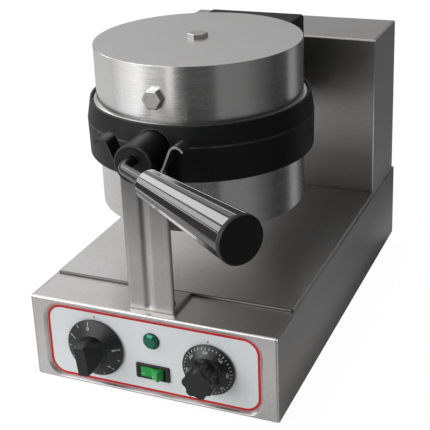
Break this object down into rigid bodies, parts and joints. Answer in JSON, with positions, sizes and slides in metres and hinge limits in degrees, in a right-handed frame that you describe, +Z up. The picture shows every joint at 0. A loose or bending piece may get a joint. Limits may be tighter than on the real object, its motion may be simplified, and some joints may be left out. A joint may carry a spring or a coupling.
{
  "type": "rotary belgian waffle maker",
  "caption": "Rotary belgian waffle maker: a round hinged iron with deep grid plates turns over on a saddle and tower above a steel base with timer, thermostat and switch",
  "frame": {"origin": "On the table surface under the rubber feet, at the middle of the whole machine's bounding box in X and Y.", "axes": "X to the right as seen by the user at the control panel, Y from the control panel to the back, Z up. Stored right way up with the iron closed, the handle to the right, the tray in, the timer at zero, the temperature dial near 200 and the switch key on its left half."},
  "size_m": [0.2812, 0.5849, 0.33],
  "materials": {
    "steel_housing": "fine horizontal grain, pale satin",
    "steel_drum": "fine horizontal grain on the wall, satin top",
    "steel_post": "satin sheet",
    "steel_tray": "satin sheet",
    "bright_steel": "turned and polished",
    "bolt_steel": "plated fasteners",
    "inner_steel": "plain mill finish",
    "black_casting": "cast, with a matt black heat proof coating",
    "plate_coating": "cast, with a dark baked coating",
    "panel_white": "white panel with a red border line",
    "knob_black": "black moulded resin",
    "body_black": "black moulded resin",
    "lamp_green": "green faceted lens",
    "key_green": "bright green key",
    "grip_black": "glossy black resin",
    "cap_black": "matt black resin",
    "foot_rubber": "black rubber",
    "element_steel": "heat darkened sheath",
    "wool": "pressed mineral wool",
    "bronze": "sintered bronze"
  },
  "bodies": {
    "base": {"base_cover": "steel_housing", "left_side_panel": "steel_housing", "right_side_panel": "steel_housing", "base_pan": "inner_steel", "rear_panel": "steel_housing", "rear_screws": "bolt_steel", "tower_cover": "steel_housing", "left_tower_side": "steel_housing", "right_tower_side": "steel_housing", "rubber_feet": "foot_rubber", "foot_screws": "bolt_steel", "control_panel": "panel_white", "timer_body": "body_black", "thermostat_body": "body_black", "lamp_body": "body_black", "lamp_lens": "lamp_green", "switch_housing": "body_black", "terminal_block": "body_black", "cable_gland": "body_black", "gland_nut": "body_black", "support_post": "steel_post", "saddle": "steel_post", "post_screws": "bolt_steel", "bearing_frame": "inner_steel", "front_bearing": "bronze", "rear_bearing": "bronze"},
    "tray": {"drip_tray": "steel_tray"},
    "timer": {"timer_spindle": "inner_steel", "timer_knob": "knob_black"},
    "temperature": {"thermostat_spindle": "inner_steel", "temperature_knob": "knob_black"},
    "rocker": {"rocker_key": "key_green"},
    "rotor": {"hollow_shaft": "bright_steel", "shaft_screws": "bolt_steel", "stop_collar": "inner_steel", "shaft_collar": "inner_steel", "hinge_block": "black_casting", "block_bolts": "bolt_steel", "hinge_pin": "bright_steel", "lower_ring": "black_casting", "thermostat_bulb": "inner_steel", "lower_waffle_plate": "plate_coating", "lower_heating_element": "element_steel", "lower_clamp_plate": "inner_steel", "lower_insulation": "wool", "lower_drum": "steel_drum", "lower_drum_bolts": "bolt_steel"},
    "lid": {"lid_arm": "black_casting", "arm_bolts": "bolt_steel", "upper_ring": "black_casting", "handle_rod": "bright_steel", "handle_grip": "grip_black", "grip_cap": "cap_black", "upper_waffle_plate": "plate_coating", "upper_heating_element": "element_steel", "upper_clamp_plate": "inner_steel", "upper_insulation": "wool", "upper_drum": "steel_drum", "upper_drum_bolts": "bolt_steel"}
  },
  "joints": [
    {"name": "iron_turn", "type": "hinge", "parent": "base", "child": "rotor", "pos_m": [-0.0156, -0.0106, 0.249], "axis": [0, -1, 0], "range_deg": [0, 180]},
    {"name": "lid_open", "type": "hinge", "parent": "rotor", "child": "lid", "pos_m": [-0.0156, 0.1284, 0.29], "axis": [1, 0, 0], "range_deg": [-95, 0]},
    {"name": "timer_turn", "type": "hinge", "parent": "base", "child": "timer", "pos_m": [-0.0746, -0.1496, 0.0515], "axis": [0, 1, 0], "range_deg": [0, 260]},
    {"name": "temperature_turn", "type": "hinge", "parent": "base", "child": "temperature", "pos_m": [0.0419, -0.1496, 0.0515], "axis": [0, 1, 0], "range_deg": [-187, 93]},
    {"name": "rocker_tilt", "type": "hinge", "parent": "base", "child": "rocker", "pos_m": [-0.0156, -0.1441, 0.0358], "axis": [0, 0, 1], "range_deg": [0, 34]},
    {"name": "tray_slide", "type": "slide", "parent": "base", "child": "tray", "axis": [1, 0, 0], "range_m": [0, 0.25]}
  ]
}
